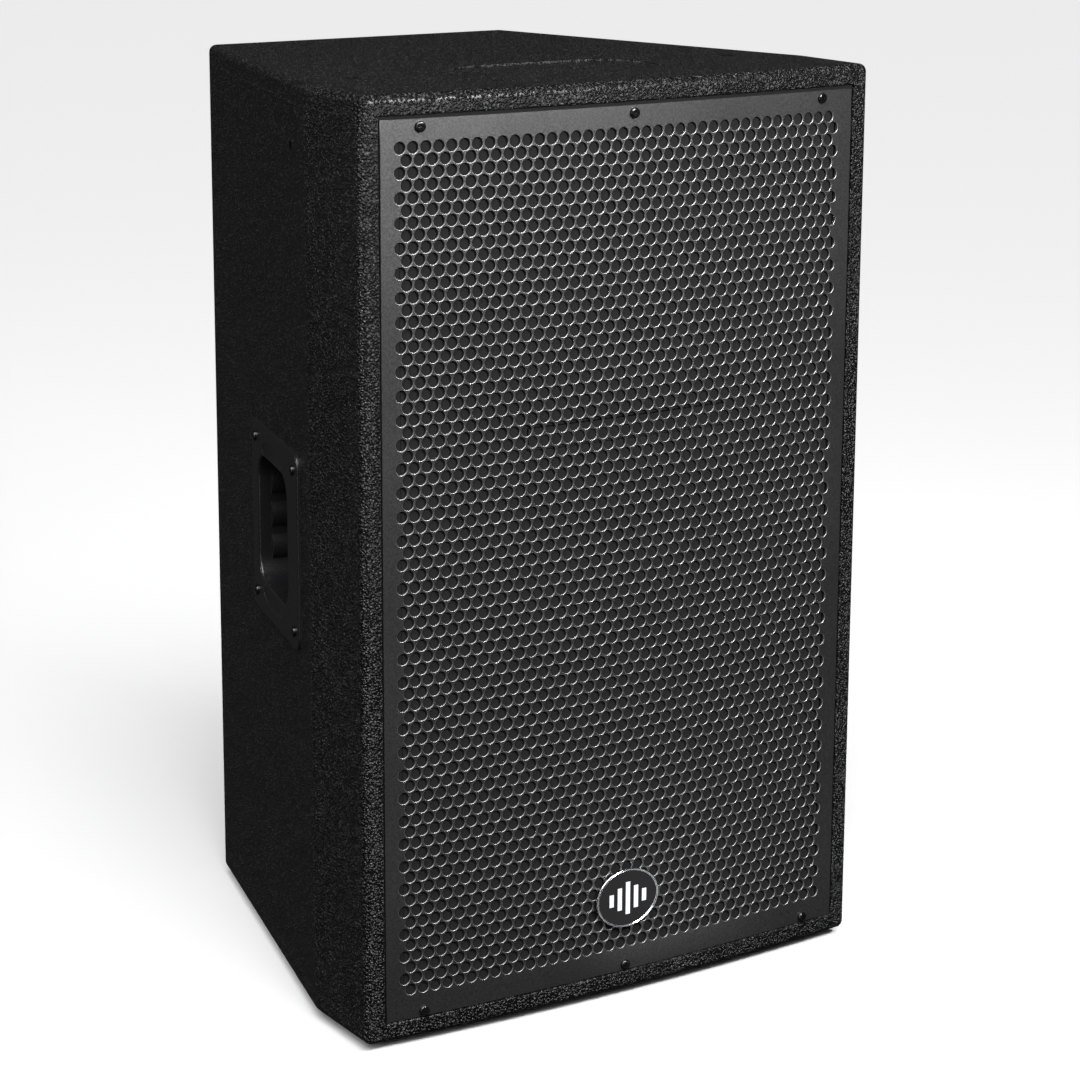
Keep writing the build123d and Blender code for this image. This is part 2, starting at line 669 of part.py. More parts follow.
def handle():
    """The moulded pocket handle on the right side, on the panel's own axes."""
    plate = extrude(RectangleRounded(HANDLE_WIDTH, HANDLE_HEIGHT, 12), PLATE)
    plate = fillet(plate.faces().sort_by(Axis.Z)[-1].edges(), 1.6)
    hollow_shape = RectangleRounded(POCKET_WIDTH, POCKET_HEIGHT, POCKET_CORNER_R)
    hollow = extrude(Pos(POCKET_SHIFT, 0, -POCKET_DEPTH) * hollow_shape, POCKET_DEPTH + 10)
    hollow = fillet(hollow.faces().sort_by(Axis.Z)[0].edges(), 12)
    body = plate + pocket_block(MOULDING) - hollow
    mouth = body.edges().filter_by_position(Axis.Z, PLATE - 0.01, PLATE + 0.01).filter_by(
        lambda edge: abs(edge.center().X - POCKET_SHIFT) < POCKET_WIDTH / 2 + 1
        and abs(edge.center().Y) < POCKET_HEIGHT / 2 + 1)
    body = fillet(mouth, 2)
    for side in (-1, 1):
        body -= Pos(POCKET_SHIFT, side * DISH_Z, PLATE) * scale(Sphere(1), by=DISH_SIZE)
    wall = POCKET_SHIFT + POCKET_WIDTH / 2
    for step in (-1, 0, 1):
        ridge = rod_z(RIDGE_R, wall + RIDGE_R - 5, step * RIDGE_PITCH, -52, -8)
        body += ridge & pocket_block(MOULDING)
    return body


def panel_screws():
    """The screws of both handles and of the input plate."""
    screw = pan_screw(4, 1.9, 1.9, 13)
    reach = HANDLE_SCREWS / 2
    corners = [Pos(x, y, PLATE) * screw for x in (-reach, reach) for y in (-reach, reach)]
    right = group([taper_plane(HANDLE_ALONG, HANDLE_Z).location * corner for corner in corners])
    rear = [Plane((x, PLATE_OUT, INPUT_Z + z), z_dir=(0, 1, 0)).location * screw
            for x in (-69, 69) for z in (-49, 49)]
    return group([both_sides(right)] + rear)


# ---------------------------------------------------------------- underside

def base_screws():
    """Four screws in the pole cup's flange and one in each foot."""
    screw = Rot(180, 0, 0) * pan_screw(4.5, 2.6, 2.2, 16)
    ring = [Pos(place.position.X, place.position.Y, -2) * screw
            for place in PolarLocations(38, 4, start_angle=45)]
    feet = [Pos(x, y, -3) * screw for x, y in FOOT_PLACES]
    return group(ring + feet)


def pole_cup(screws):
    """The cup that takes a 35 mm stand pole."""
    cup = rod_z(50, 0, 0, -2, 0) + rod_z(POLE_CUP_R + 3, 0, 0, 0, POLE_BORE_DEPTH + 2)
    return cup - rod_z(POLE_BORE_R, 0, 0, -2, POLE_BORE_DEPTH - 2) - screws


def feet(screws):
    """Four rubber feet with a well for the screw's head."""
    shapes = []
    for x, y in FOOT_PLACES:
        foot = Pos(x, y, -FOOT_HEIGHT / 2) * Rot(180, 0, 0) * Cone(19, 16, FOOT_HEIGHT)
        well = rod_z(6, x, y, -FOOT_HEIGHT, -3)
        shapes.append(foot - well - screws)
    return group(shapes)


# ---------------------------------------------------------------- rear input plate

def input_plate(screws):
    """The steel plate that carries the sockets and the mode switch."""
    outline = Pos(0, INPUT_Z) * RectangleRounded(152, 112, 8)
    plate = extrude(Plane.XZ.offset(-PLATE_OUT) * outline, INPUT_PLATE)
    for side in (-1, 1):
        plate -= rod_y(SOCKET_R, side * SOCKET_X, SOCKET_Z, REAR_OUTER, PLATE_OUT)
    plate -= block(-9, 9, REAR_OUTER, PLATE_OUT, SWITCH_Z - 4, SWITCH_Z + 4)
    return plate - screws


def input_gasket():
    """The soft seal behind the plate, in a rebate of the rear panel's opening."""
    outer = Pos(0, INPUT_Z) * RectangleRounded(128, 88, 6)
    inner = Pos(0, INPUT_Z) * RectangleRounded(118, 78, 4)
    return extrude(Plane.XZ.offset(-REAR_OUTER) * (outer - inner), 3)


def input_sockets():
    """Two round four-pole locking sockets."""
    shapes = []
    for side in (-1, 1):
        x = side * SOCKET_X
        shell = rod_y(SOCKET_R, x, SOCKET_Z, SOCKET_BACK, PLATE_OUT)
        shell -= rod_y(SOCKET_R - 2, x, SOCKET_Z, SOCKET_BACK + 4, PLATE_OUT)
        shapes.append(shell + rod_y(4, x, SOCKET_Z, SOCKET_BACK + 4, REAR_OUTER))
    return group(shapes)


def mode_switch_body():
    """The slide switch behind the plate."""
    case = block(-12, 12, REAR_OUTER - 14, REAR_OUTER, SWITCH_Z - 6, SWITCH_Z + 6)
    return case - block(-8.5, 8.5, REAR_OUTER - 6, REAR_OUTER, SWITCH_Z - 3.5, SWITCH_Z + 3.5)


def mode_switch_slider():
    """The finger piece, at its left-hand stop."""
    foot = block(-8.2, -0.2, REAR_OUTER - 5.8, REAR_OUTER - 1, SWITCH_Z - 3.2, SWITCH_Z + 3.2)
    return foot + block(-7.2, -1.2, REAR_OUTER - 1, PLATE_OUT + 1, SWITCH_Z - 2.2, SWITCH_Z + 2.2)


# ---------------------------------------------------------------- crossover

def crossover_spacers():
    """Four spacers under the board with their screws through it."""
    shapes = []
    for x in (-80, 80):
        for y in (BOARD_Y - 42, BOARD_Y + 42):
            spacer = rod_z(4, x, y, BOARD, BOARD_UNDER) + rod_z(1.5, x, y, BOARD_UNDER, BOARD_TOP)
            shapes.append(spacer + rod_z(3, x, y, BOARD_TOP, BOARD_TOP + 2))
    return group(shapes)


def crossover_board(spacers):
    return block(-88, 88, BOARD_Y - 50, BOARD_Y + 50, BOARD_UNDER, BOARD_TOP) - spacers


def coil(radius, height):
    return Cylinder(radius, height) - Cylinder(radius * 0.42, height)


def crossover_coils():
    """Three air-cored inductors; the middle one stands on edge so that they don't couple."""
    return group([Pos(-50, BOARD_Y, BOARD_TOP + 14) * coil(27, 28),
                  Pos(12, BOARD_Y + 12, BOARD_TOP + 21) * Rot(90, 0, 0) * coil(21, 22),
                  Pos(64, BOARD_Y - 22, BOARD_TOP + 9) * coil(16, 18)])


def crossover_capacitors():
    """Four film capacitors and two cement resistors, lying on the board."""
    cans = [rod_y(7, x, BOARD_TOP + 7, BOARD_Y + y - 13, BOARD_Y + y + 13)
            for x, y in ((0, -34), (28, -34), (50, 14), (66, 14))]
    blocks = [block(x - 5, x + 5, BOARD_Y - 49, BOARD_Y - 29, BOARD_TOP, BOARD_TOP + 9) for x in (-60, -30)]
    return group(cans + blocks)


def crossover_terminals():
    """The row of screw terminals where the leads end."""
    return block(-42, 42, LEAD_Y - 5, LEAD_Y + 5, BOARD_TOP, TERMINALS_TOP)


# ---------------------------------------------------------------- leads and wool

def lead(points, radius):
    """A round two-core lead: straight runs joined by a tangent arc."""
    path = FilletPolyline(*points, radius=radius)
    section = Plane(path @ 0, z_dir=path % 0) * Circle(LEAD_R)
    return sweep(section, path=path)


def internal_leads():
    """From the terminals to a socket, to the woofer and to the compression driver."""
    socket, woofer, horn = LEAD_X
    to_socket = lead([(socket, LEAD_Y, TERMINALS_TOP), (socket, LEAD_Y, SOCKET_Z),
                      (socket, SOCKET_BACK, SOCKET_Z)], 22)
    to_woofer = lead([(woofer, LEAD_Y, TERMINALS_TOP), (woofer, LEAD_Y, WOOFER_TAG_Z),
                      (woofer, TOP_PLATE_Y + 12, WOOFER_TAG_Z)], 60)
    to_horn = lead([(horn, LEAD_Y, TERMINALS_TOP), (horn, LEAD_Y, DRIVER_TAG_Z),
                    (horn, DRIVER_Y + 57, DRIVER_TAG_Z)], 60)
    return group([to_socket, to_woofer, to_horn])


def lead_clips():
    """A saddle on the rear panel for two leads and one on the shelf for the horn's lead."""
    low = block(-7, 39, LEAD_Y - 6, REAR_INNER, 250, 258)
    high = block(25, 39, LEAD_Y - 6, REAR_INNER - 28, 436, 444)
    for x in LEAD_X[1:]:
        low -= rod_z(LEAD_R, x, LEAD_Y, 250, 258)
    return group([low, high - rod_z(LEAD_R, LEAD_X[2], LEAD_Y, 436, 444)])


def damping_wool():
    """Pads of polyester wool on the rear panel and on the ceiling."""
    rear = block(-100, 100, REAR_INNER - WOOL, REAR_INNER - SOFT_GAP, 470, 590)
    ceiling = block(-95, 95, 20, 140, CEILING - WOOL, CEILING - SOFT_GAP)
    return group([rear, ceiling])


def save(name, shape):
    export_step(Pos(0, 0, FOOT_HEIGHT) * shape, f"parts/{name}.step")


def save_sides(name, pair):
    """The left piece is the one at negative X."""
    for side, solid in zip(("left", "right"), pair.solids().sort_by(Axis.X)):
        save(f"{name}_{side}", solid)


def main():
    os.makedirs("parts", exist_ok=True)
    form = full_box() - opening_rounding()
    blanks = at_insert_places(insert_blank(INSERT_FLANGE_R), insert_blank(SIDE_FLANGE_R))
    small_screws = panel_screws()
    sheet_screws = grille_screws()
    rim_screws = woofer_screws()
    flange_screws = horn_screws()
    throat_bolts = driver_bolts()
    floor_screws = base_screws()
    spacers = crossover_spacers()
    front_sides, rear_sides = side_panels(form)

    save("top_panel", top_panel(form, blanks))
    save("bottom_panel", bottom_panel(form, blanks) - floor_screws)
    save_sides("front_side", front_sides)
    save_sides("rear_side", rear_side_panel(rear_sides, blanks) - small_screws)
    save("rear_panel", rear_panel(blanks) - small_screws)
    save("front_baffle", front_baffle(rim_screws) - flange_screws)
    save("window_brace", window_brace())
    save("glue_battens", glue_battens())
    save("rigging_inserts", rigging_inserts())

    save("grille", grille(sheet_screws))
    save("grille_cleats", grille_cleats(sheet_screws))
    save("grille_foam", grille_foam())
    save("grille_screws", sheet_screws)
    save("badge_plate", badge_plate())
    save("badge_rim", badge_rim())
    save("badge_emblem", badge_emblem())

    save("woofer_basket", woofer_basket(rim_screws))
    save("woofer_gasket", woofer_gasket(rim_screws))
    save("woofer_surround", woofer_surround())
    save("woofer_cone", woofer_cone())
    save("woofer_dust_cap", woofer_dust_cap())
    save("woofer_voice_coil", woofer_voice_coil())
    save("woofer_spider", woofer_spider())
    save("woofer_top_plate", woofer_top_plate())
    save("woofer_magnet", woofer_magnet())
    save("woofer_yoke", woofer_yoke())
    save("woofer_terminals", woofer_terminals())
    save("woofer_screws", rim_screws)

    save("horn_flare", horn_flare(flange_screws, throat_bolts))
    save("horn_screws", flange_screws)
    save("driver_yoke", driver_yoke(throat_bolts))
    save("driver_phase_plug", driver_phase_plug())
    save("driver_magnet", driver_magnet())
    save("driver_top_plate", driver_top_plate())
    save("driver_suspension", driver_suspension())
    save("driver_diaphragm", driver_diaphragm())
    save("driver_cover", driver_cover())
    save("driver_bolts", throat_bolts)
    save("port_tubes", port_tubes())

    save_sides("handle", both_sides(taper_plane(HANDLE_ALONG, HANDLE_Z).location * handle()) - small_screws)
    save("panel_screws", small_screws)
    save("pole_cup", pole_cup(floor_screws))
    save("feet", feet(floor_screws))
    save("base_screws", floor_screws)

    save("input_plate", input_plate(small_screws))
    save("input_gasket", input_gasket())
    save("input_sockets", input_sockets())
    save("mode_switch_body", mode_switch_body())
    save("mode_switch_slider", mode_switch_slider())
    save("crossover_spacers", spacers)
    save("crossover_board", crossover_board(spacers))
    save("crossover_coils", crossover_coils())
    save("crossover_capacitors", crossover_capacitors())
    save("crossover_terminals", crossover_terminals())
    save("internal_leads", internal_leads())
    save("lead_clips", lead_clips())
    save("damping_wool", damping_wool())


main()
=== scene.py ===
import json
import math

import bmesh
import bpy
from mathutils import Matrix, Vector, noise
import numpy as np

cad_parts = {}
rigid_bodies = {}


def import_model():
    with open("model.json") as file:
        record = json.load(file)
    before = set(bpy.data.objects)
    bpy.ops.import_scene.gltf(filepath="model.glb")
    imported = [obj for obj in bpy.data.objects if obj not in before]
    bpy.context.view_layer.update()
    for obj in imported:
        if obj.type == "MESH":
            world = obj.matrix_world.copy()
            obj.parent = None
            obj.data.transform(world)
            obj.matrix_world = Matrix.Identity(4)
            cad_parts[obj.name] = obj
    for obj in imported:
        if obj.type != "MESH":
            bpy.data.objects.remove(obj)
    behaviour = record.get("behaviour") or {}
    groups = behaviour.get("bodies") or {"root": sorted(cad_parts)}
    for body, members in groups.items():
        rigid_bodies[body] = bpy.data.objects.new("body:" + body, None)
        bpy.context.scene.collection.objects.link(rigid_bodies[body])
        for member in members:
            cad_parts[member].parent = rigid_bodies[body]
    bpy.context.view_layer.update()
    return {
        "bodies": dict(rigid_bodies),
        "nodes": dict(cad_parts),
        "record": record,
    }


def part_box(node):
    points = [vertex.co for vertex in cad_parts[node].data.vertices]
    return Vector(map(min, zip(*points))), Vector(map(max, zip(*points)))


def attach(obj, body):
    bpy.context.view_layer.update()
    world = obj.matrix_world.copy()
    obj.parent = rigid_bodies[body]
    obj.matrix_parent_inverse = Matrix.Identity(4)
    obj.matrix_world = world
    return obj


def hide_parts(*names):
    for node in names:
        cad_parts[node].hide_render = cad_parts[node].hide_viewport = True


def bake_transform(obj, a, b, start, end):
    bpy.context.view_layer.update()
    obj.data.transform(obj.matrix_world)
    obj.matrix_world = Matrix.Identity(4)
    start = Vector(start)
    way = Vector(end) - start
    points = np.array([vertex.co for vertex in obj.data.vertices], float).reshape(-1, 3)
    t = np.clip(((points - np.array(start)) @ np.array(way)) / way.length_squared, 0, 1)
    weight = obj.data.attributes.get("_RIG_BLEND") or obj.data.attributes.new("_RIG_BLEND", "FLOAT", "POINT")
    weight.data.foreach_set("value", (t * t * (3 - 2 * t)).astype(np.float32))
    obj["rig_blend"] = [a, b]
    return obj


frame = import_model()

MM = 0.001


# ---------------------------------------------------------------- camera, lights and floor

CAMERA_PLACE = (-1.2548, -2.0162, 0.9350)
CAMERA_YAW = -32.904             # degrees from looking along +Y
CAMERA_DOWN = 13.184             # degrees below level
CAMERA_ROLL = 0.249
CAMERA_LENS = 101.80             # for a sensor of 36 mm
CAMERA_SHIFT_Y = -0.0648
FLOOR_R = 40
FLOOR_TONE = (0.93, 0.93, 0.93)


def add_camera():
    """The camera stands to the left of the cabinet and looks slightly down on it."""
    data = bpy.data.cameras.new("camera")
    data.sensor_width = 36
    data.lens = CAMERA_LENS
    data.shift_y = CAMERA_SHIFT_Y
    data.clip_start = 0.05
    camera = bpy.data.objects.new("camera", data)
    turn = Matrix.Rotation(math.radians(CAMERA_YAW), 4, "Z")
    tilt = Matrix.Rotation(math.radians(90 - CAMERA_DOWN), 4, "X")
    roll = Matrix.Rotation(math.radians(CAMERA_ROLL), 4, "Z")
    camera.matrix_world = Matrix.Translation(CAMERA_PLACE) @ turn @ tilt @ roll
    bpy.context.scene.collection.objects.link(camera)
    bpy.context.scene.camera = camera


def add_area(name, place, target, width, height, power):
    """A softbox at place that faces target and that the camera doesn't see."""
    data = bpy.data.lights.new(name, "AREA")
    data.shape = "RECTANGLE"
    data.size = width
    data.size_y = height
    data.energy = power
    lamp = bpy.data.objects.new(name, data)
    lamp.location = place
    aim = Vector(target) - Vector(place)
    lamp.rotation_euler = aim.to_track_quat("-Z", "Y").to_euler()
    lamp.visible_camera = False
    bpy.context.scene.collection.objects.link(lamp)


def add_sun(source, strength, spread):
    """A wide, soft sun: source is the direction that its light comes from."""
    data = bpy.data.lights.new("sun", "SUN")
    data.energy = strength
    data.angle = math.radians(spread)
    lamp = bpy.data.objects.new("sun", data)
    lamp.rotation_euler = (-Vector(source)).to_track_quat("-Z", "Y").to_euler()
    bpy.context.scene.collection.objects.link(lamp)


def add_world(level):
    """Even white light from all round."""
    world = bpy.data.worlds.new("studio")
    world.use_nodes = True
    background = world.node_tree.nodes["Background"]
    background.inputs["Color"].default_value = (1, 1, 1, 1)
    background.inputs["Strength"].default_value = level
    bpy.context.scene.world = world


def add_floor():
    """A pale paper floor that lights and mirrors nothing, so that black surfaces stay black."""
    mesh = bpy.data.meshes.new("studio_floor")
    form = bmesh.new()
    bmesh.ops.create_circle(form, cap_ends=True, segments=96, radius=FLOOR_R)
    form.to_mesh(mesh)
    form.free()
    floor = bpy.data.objects.new("studio_floor", mesh)
    floor.visible_diffuse = False
    floor.visible_glossy = False
    bpy.context.scene.collection.objects.link(floor)
    paper = Shader("studio_paper", FLOOR_TONE, 0.75)
    paper.finish_bump(paper.noise(30, 4), 0.05, 0.0004)
    mesh.materials.append(paper.material)


# ---------------------------------------------------------------- shader helpers

class Shader:
    """A Principled material with textures laid out in the row frame, in metres."""

    def __init__(self, name, colour, roughness, metallic=0.0):
        self.material = bpy.data.materials.new(name)
        self.material.use_nodes = True
        self.tree = self.material.node_tree
        self.bsdf = self.tree.nodes["Principled BSDF"]
        self.bsdf.inputs["Base Color"].default_value = (*colour, 1)
        self.bsdf.inputs["Roughness"].default_value = roughness
        self.bsdf.inputs["Metallic"].default_value = metallic
        self.coords = self.add("ShaderNodeTexCoord").outputs["Object"]
        self.normal = None

    def add(self, kind):
        return self.tree.nodes.new(kind)

    def link(self, source, target):
        self.tree.links.new(source, target)

    def put(self, socket, value):
        """A number or colour is set on the socket, and anything else is linked to it."""
        if isinstance(value, (int, float)):
            socket.default_value = value
        elif isinstance(value, tuple):
            socket.default_value = (*value, 1) if len(value) == 3 else value
        else:
            self.link(value, socket)

    def noise(self, scale, detail=2, roughness=0.5, coords=None):
        node = self.add("ShaderNodeTexNoise")
        self.link(coords or self.coords, node.inputs["Vector"])
        node.inputs["Scale"].default_value = scale
        node.inputs["Detail"].default_value = detail
        node.inputs["Roughness"].default_value = roughness
        return node.outputs["Fac"]

    def cells(self, scale, feature="SMOOTH_F1", smoothness=0.6):
        """Distance to the nearest cell's middle."""
        node = self.add("ShaderNodeTexVoronoi")
        node.feature = feature
        self.link(self.coords, node.inputs["Vector"])
        node.inputs["Scale"].default_value = scale
        if feature == "SMOOTH_F1":
            node.inputs["Smoothness"].default_value = smoothness
        return node.outputs["Distance"]

    def painted_glints(self, scale, rare, full):
        """Small dots at the middle of cells, brighter in some cells than in others, used as painted glints.
        """
        node = self.add("ShaderNodeTexVoronoi")
        self.link(self.coords, node.inputs["Vector"])
        node.inputs["Scale"].default_value = scale
        dot = self.span(node.outputs["Distance"], 0.2, 0.5, 1.0, 0.0)
        return self.math("MULTIPLY", dot, self.span(node.outputs["Color"], rare, full))

    def stretched(self, x, y, z):
        """Coordinates scaled along each axis."""
        node = self.add("ShaderNodeMapping")
        self.link(self.coords, node.inputs["Vector"])
        node.inputs["Scale"].default_value = (x, y, z)
        return node.outputs["Vector"]

    def math(self, operation, a, b=0.0, clamp=False):
        node = self.add("ShaderNodeMath")
        node.operation = operation
        node.use_clamp = clamp
        self.put(node.inputs[0], a)
        self.put(node.inputs[1], b)
        return node.outputs[0]

    def span(self, value, low, high, to_low=0.0, to_high=1.0):
        """Maps low..high to to_low..to_high and clamps."""
        node = self.add("ShaderNodeMapRange")
        self.put(node.inputs["Value"], value)
        node.inputs["From Min"].default_value = low
        node.inputs["From Max"].default_value = high
        node.inputs["To Min"].default_value = to_low
        node.inputs["To Max"].default_value = to_high
        return node.outputs["Result"]

    def mix(self, factor, a, b):
        """Colour a where factor is 0 and b where it is 1."""
        node = self.add("ShaderNodeMix")
        node.data_type = "RGBA"
        self.put(node.inputs["Factor"], factor)
        self.put(node.inputs[6], a)
        self.put(node.inputs[7], b)
        return node.outputs[2]

    def edges(self, radius):
        """1 on edges and 0 on flats, from how far a rounded normal leans from the real one."""
        bevel = self.add("ShaderNodeBevel")
        bevel.samples = 4
        bevel.inputs["Radius"].default_value = radius
        geometry = self.add("ShaderNodeNewGeometry")
        dot = self.add("ShaderNodeVectorMath")
        dot.operation = "DOT_PRODUCT"
        self.link(bevel.outputs["Normal"], dot.inputs[0])
        self.link(geometry.outputs["Normal"], dot.inputs[1])
        lean = self.math("SUBTRACT", 1.0, dot.outputs["Value"])
        return self.span(lean, 0.02, 0.3)

    def colour(self, value):
        self.put(self.bsdf.inputs["Base Color"], value)

    def roughness(self, value):
        self.put(self.bsdf.inputs["Roughness"], value)

    def finish_bump(self, height, strength, distance):
        """Adds one layer of relief over the layers so far."""
        node = self.add("ShaderNodeBump")
        self.link(height, node.inputs["Height"])
        node.inputs["Strength"].default_value = strength
        node.inputs["Distance"].default_value = distance
        if self.normal is not None:
            self.link(self.normal, node.inputs["Normal"])
        self.normal = node.outputs["Normal"]
        self.link(self.normal, self.bsdf.inputs["Normal"])


# ---------------------------------------------------------------- materials

def textured_paint():
    """Near-black cabinet paint: a coarse pebbled grain, painted darker between the pebbles as painted shade,
    with lighter specks as painted glints, and lighter on its edges as painted edge highlights mixed with
    rubbed wear.
    """
    s = Shader("textured_paint", (0.006, 0.006, 0.0065), 0.36)
    s.bsdf.inputs["Specular IOR Level"].default_value = 0.35
    pebble = s.cells(540, smoothness=0.2)
    fine = s.noise(1500, 3, 0.6)
    broad = s.noise(9, 3)
    tall = s.span(pebble, 0.1, 0.6, 1.0, 0.0)
    # painted glints: lighter specks in the base colour stand in for sparkles of light on the grain
    painted_glints = s.painted_glints(430, 0.42, 0.62)
    # painted edge highlight mixed with rubbed wear: the arrises are lightened in patches
    lighter_edges = s.math("MULTIPLY", s.edges(1.5 * MM), s.span(s.noise(220, 3, 0.7), 0.42, 0.6))
    # painted shade: the low ground between the pebbles is darker than their tops
    tone = s.mix(tall, (0.002, 0.002, 0.0021), (0.007, 0.007, 0.0073))
    tone = s.mix(painted_glints, tone, (0.06, 0.06, 0.062))
    s.colour(s.mix(lighter_edges, tone, (0.07, 0.07, 0.072)))
    s.roughness(s.span(s.math("ADD", broad, s.math("MULTIPLY", fine, 0.5)), 0.4, 1.1, 0.26, 0.4))
    s.finish_bump(tall, 1.0, 0.0012)
    s.finish_bump(fine, 0.4, 0.0003)
    return s.material


def grille_steel():
    """Satin black finish on the perforated steel, with a metallic sheen, fine grain and orange peel."""
    s = Shader("grille_steel", (0.1, 0.1, 0.101), 0.4, 0.9)
    orange_peel = s.noise(900, 3, 0.55)
    drift = s.noise(6, 3)
    grain = s.span(s.noise(700, 2, 0.7), 0.35, 0.65)
    tone = s.mix(drift, (0.1, 0.1, 0.101), (0.13, 0.13, 0.131))
    s.colour(s.mix(grain, (0.07, 0.07, 0.071), tone))
    s.roughness(s.span(drift, 0.3, 0.7, 0.37, 0.44))
    s.finish_bump(orange_peel, 0.3, 0.0003)
    return s.material


def rim_steel():
    """The rims and walls of the holes, lighter and shinier than the face of the sheet."""
    s = Shader("rim_steel", (0.24, 0.24, 0.243), 0.4, 0.9)
    grain = s.noise(900, 2, 0.6)
    s.colour(s.mix(grain, (0.2, 0.2, 0.202), (0.28, 0.28, 0.283)))
    s.roughness(s.span(grain, 0.3, 0.7, 0.38, 0.46))
    return s.material


def foam_black():
    """Open-cell foam: dark struts round pores whose hollows are painted darker, as painted shade."""
    s = Shader("foam", (0.02, 0.02, 0.021), 0.9)
    s.bsdf.inputs["Specular IOR Level"].default_value = 0.2
    pores = s.cells(1500, "F1")
    # painted shade: darker towards the middle of each pore, where the bump sinks
    s.colour(s.mix(s.span(pores, 0.15, 0.6), (0.004, 0.004, 0.004), (0.01, 0.01, 0.0103)))
    s.finish_bump(pores, 0.5, 0.0005)
    return s.material


WEAR_ROUGHNESS = 0.3


def plain(name, colour, roughness, metallic=0.0, grain=800, depth=0.0001, wear=None, wear_radius=0.001):
    """A surface with fine grain and slow tone drift. Its edges are rubbed where wear gives their colour."""
    s = Shader(name, colour, roughness, metallic)
    drift = s.noise(14, 4, 0.6)
    fine = s.noise(grain, 3, 0.6)
    darker = tuple(0.75 * c for c in colour)
    tone = s.mix(s.span(drift, 0.3, 0.7), darker, colour)
    rough = s.span(s.math("ADD", drift, fine), 0.6, 1.4, roughness * 0.8, min(1.0, roughness * 1.2))
    if wear:
        lighter_edges = s.math("MULTIPLY", s.edges(wear_radius), s.span(s.noise(160, 4, 0.7), 0.4, 0.62), clamp=True)
        tone = s.mix(lighter_edges, tone, wear)
        node = s.add("ShaderNodeMix")
        s.put(node.inputs[0], lighter_edges)
        s.put(node.inputs[2], rough)
        node.inputs[3].default_value = WEAR_ROUGHNESS
        rough = node.outputs[0]
    s.colour(tone)
    s.roughness(rough)
    s.finish_bump(fine, 0.3, depth)
    return s.material


def plywood():
    """Bare birch plywood with rings drawn out along the board."""
    s = Shader("plywood", (0.45, 0.3, 0.17), 0.65)
    rings = s.noise(22, 5, 0.6, s.stretched(1, 1, 6))
    s.colour(s.mix(s.span(rings, 0.35, 0.65), (0.32, 0.2, 0.11), (0.52, 0.36, 0.21)))
    s.roughness(s.span(rings, 0.3, 0.7, 0.55, 0.75))
    s.finish_bump(s.noise(400, 3, 0.6, s.stretched(1, 1, 8)), 0.3, 0.0002)
    return s.material


MATERIALS = {
    "textured_paint": textured_paint(),
    "grille_steel": grille_steel(),
    "rim_steel": rim_steel(),
    "foam": foam_black(),
    "plywood": plywood(),
    "wool": plain("wool", (0.62, 0.6, 0.55), 0.95, grain=700, depth=0.0008),
    "black_zinc": plain("black_zinc", (0.07, 0.07, 0.073), 0.17, 0.95, grain=2200, depth=0.00003,
                        wear=(0.35, 0.34, 0.32), wear_radius=0.0004),
    "badge_gloss": plain("badge_gloss", (0.006, 0.006, 0.007), 0.07, grain=500, depth=0.000005),
    "bright_chrome": plain("bright_chrome", (0.82, 0.83, 0.85), 0.16, 1.0, grain=900, depth=0.00001),
    "cast_frame": plain("cast_frame", (0.05, 0.05, 0.052), 0.5, 0.4, grain=600, depth=0.0002),
    "cone_paper": plain("cone_paper", (0.028, 0.027, 0.026), 0.85, grain=1100, depth=0.0003),
    "surround_cloth": plain("surround_cloth", (0.02, 0.02, 0.02), 0.75, grain=1300, depth=0.0003),
    "coil_former": plain("coil_former", (0.55, 0.37, 0.14), 0.4, grain=900, depth=0.00005),
    "plated_steel": plain("plated_steel", (0.55, 0.56, 0.58), 0.3, 1.0, grain=1500, depth=0.00004),
    "ferrite": plain("ferrite", (0.05, 0.05, 0.055), 0.6, grain=700, depth=0.0002),
    "moulded_black": plain("moulded_black", (0.011, 0.011, 0.012), 0.27, grain=1400, depth=0.00008,
                           wear=(0.05, 0.05, 0.05), wear_radius=0.0008),
    "input_steel": plain("input_steel", (0.02, 0.02, 0.021), 0.4, 0.2, grain=900, depth=0.0001,
                         wear=(0.3, 0.3, 0.3), wear_radius=0.0006),
    "rubber_black": plain("rubber_black", (0.018, 0.018, 0.018), 0.8, grain=900, depth=0.0002),
    "circuit_board": plain("circuit_board", (0.03, 0.13, 0.06), 0.35, grain=500, depth=0.00005),
    "enamelled_copper": plain("enamelled_copper", (0.6, 0.22, 0.08), 0.3, 0.8, grain=800, depth=0.00005),
    "capacitor_film": plain("capacitor_film", (0.5, 0.38, 0.1), 0.3, grain=500, depth=0.00003),
    "lead_sheath": plain("lead_sheath", (0.2, 0.02, 0.02), 0.5, grain=900, depth=0.00005),
}


# the battens behind the grille, which stay dark behind its holes
MATTE_PAINT = plain("matte_paint", (0.009, 0.009, 0.0093), 0.7, grain=300, depth=0.0001)


def dull(material, level):
    """Weakens a material's reflections."""
    material.node_tree.nodes["Principled BSDF"].inputs["Specular IOR Level"].default_value = level


DULL_SPECULAR = 0.12
dull(MATERIALS["badge_gloss"], DULL_SPECULAR)
dull(MATTE_PAINT, DULL_SPECULAR)


def dress_cad_nodes():
    """Every CAD node gets the material of its slot, apart from the battens behind the grille."""
    slot_of = {part["node"]: part["material_slot"] for part in frame["record"]["subparts"]}
    for name, obj in frame["nodes"].items():
        material = MATTE_PAINT if name == "grille_cleats" else MATERIALS[slot_of[name]]
        if not obj.data.materials:
            obj.data.materials.append(material)
        for index in range(len(obj.material_slots)):
            obj.material_slots[index].material = material


# ---------------------------------------------------------------- pieces

